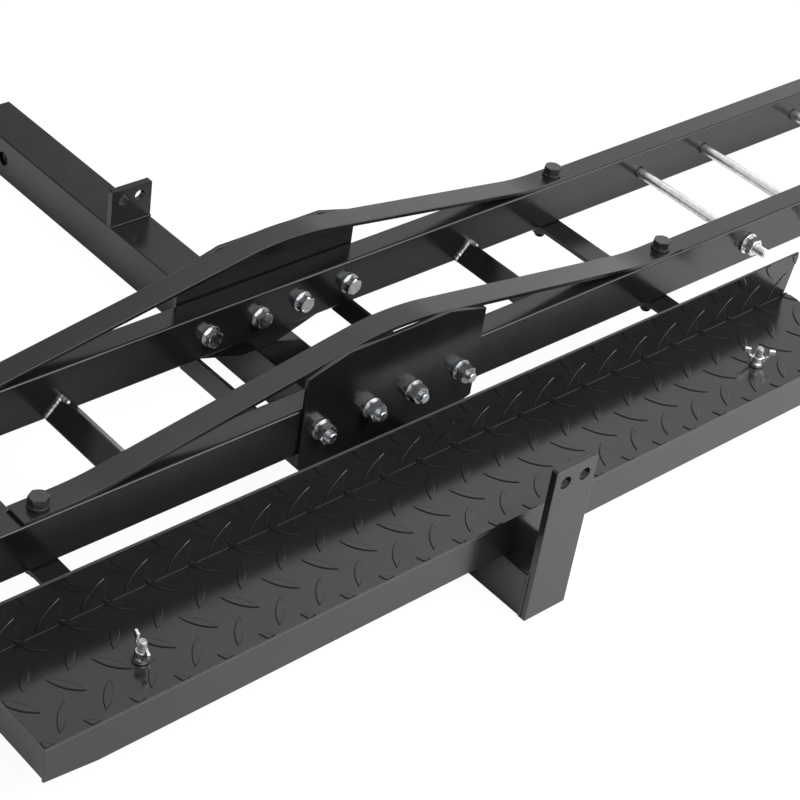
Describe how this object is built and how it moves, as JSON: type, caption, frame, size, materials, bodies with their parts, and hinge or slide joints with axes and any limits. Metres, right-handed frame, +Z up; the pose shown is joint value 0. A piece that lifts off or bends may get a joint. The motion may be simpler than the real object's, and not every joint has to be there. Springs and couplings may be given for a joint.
{
  "type": "hitch motorcycle carrier",
  "caption": "Motorcycle carrier for a tow receiver: two rails with a wheel channel on a square shank, arched straps, wheel-stop rods and a stowed loading ramp.",
  "frame": {"origin": "centre of the hitch pin hole, on the axis of the square shank", "axes": "+Y along the shank into the receiver, +Z up, +X along the wheel channel and the pin hole"},
  "size_m": [1.906, 0.9, 0.1938],
  "materials": {
    "black_powder_coat": "satin black powder coat",
    "zinc_plated_steel": "bright zinc",
    "black_oxide_steel": "black oxide",
    "black_plug": "matte"
  },
  "bodies": {
    "carrier": {"hitch_bar": "black_powder_coat", "end_bar": "black_powder_coat", "tie_down_tab": "black_powder_coat", "front_center_plate": "black_powder_coat", "rear_center_plate": "black_powder_coat", "front_rail_left": "black_powder_coat", "front_rail_right": "black_powder_coat", "rear_rail_left": "black_powder_coat", "rear_rail_right": "black_powder_coat", "rail_end_plugs": "black_plug", "cross_tie_left": "black_powder_coat", "cross_tie_right": "black_powder_coat", "crossbar_left": "black_powder_coat", "crossbar_right": "black_powder_coat", "ramp_arm_left": "black_powder_coat", "ramp_arm_right": "black_powder_coat", "front_strap": "black_powder_coat", "rear_strap": "black_powder_coat", "plate_bolts": "zinc_plated_steel", "plate_head_washers": "zinc_plated_steel", "plate_nut_washers": "zinc_plated_steel", "plate_nuts": "zinc_plated_steel", "strap_bolts": "black_oxide_steel", "strap_washers": "black_oxide_steel", "strap_nuts": "black_oxide_steel", "wheel_rod_left_inner": "zinc_plated_steel", "wheel_rod_left_middle": "zinc_plated_steel", "wheel_rod_left_outer": "zinc_plated_steel", "wheel_rod_right_inner": "zinc_plated_steel", "wheel_rod_right_middle": "zinc_plated_steel", "wheel_rod_right_outer": "zinc_plated_steel", "rod_head_washers": "zinc_plated_steel", "rod_nut_washers": "zinc_plated_steel", "rod_nuts": "zinc_plated_steel", "ramp_studs": "zinc_plated_steel"},
    "ramp": {"ramp_deck": "black_powder_coat", "ramp_skirt": "black_powder_coat", "ramp_end_plate_left": "black_powder_coat", "ramp_end_plate_right": "black_powder_coat"},
    "wing_washer_left_body": {"wing_washer_left": "black_oxide_steel"},
    "wing_nut_left_body": {"wing_nut_left": "zinc_plated_steel"},
    "wing_washer_right_body": {"wing_washer_right": "black_oxide_steel"},
    "wing_nut_right_body": {"wing_nut_right": "zinc_plated_steel"}
  },
  "joints": [
    {"name": "ramp_lift", "type": "slide", "parent": "carrier", "child": "ramp", "axis": [0, 0, 1], "range_m": [0, 0.15]},
    {"name": "wing_washer_left_travel", "type": "slide", "parent": "ramp", "child": "wing_washer_left_body", "axis": [0, 0, 1], "range_m": [0, 0.0063]},
    {"name": "wing_nut_left_spin", "type": "hinge", "parent": "wing_washer_left_body", "child": "wing_nut_left_body", "pos_m": [-0.3927, -0.7597, 0.0684], "axis": [0, 0, 1], "range_deg": [0, 1800]},
    {"name": "wing_washer_right_travel", "type": "slide", "parent": "ramp", "child": "wing_washer_right_body", "axis": [0, 0, 1], "range_m": [0, 0.0063]},
    {"name": "wing_nut_right_spin", "type": "hinge", "parent": "wing_washer_right_body", "child": "wing_nut_right_body", "pos_m": [0.3443, -0.7597, 0.0684], "axis": [0, 0, 1], "range_deg": [0, 1800]}
  ],
  "couplings": [
    {"joint": "wing_washer_left_travel", "follows": "wing_nut_left_spin", "m_per_rad": 0.00019894},
    {"joint": "wing_washer_right_travel", "follows": "wing_nut_right_spin", "m_per_rad": 0.00019894}
  ]
}
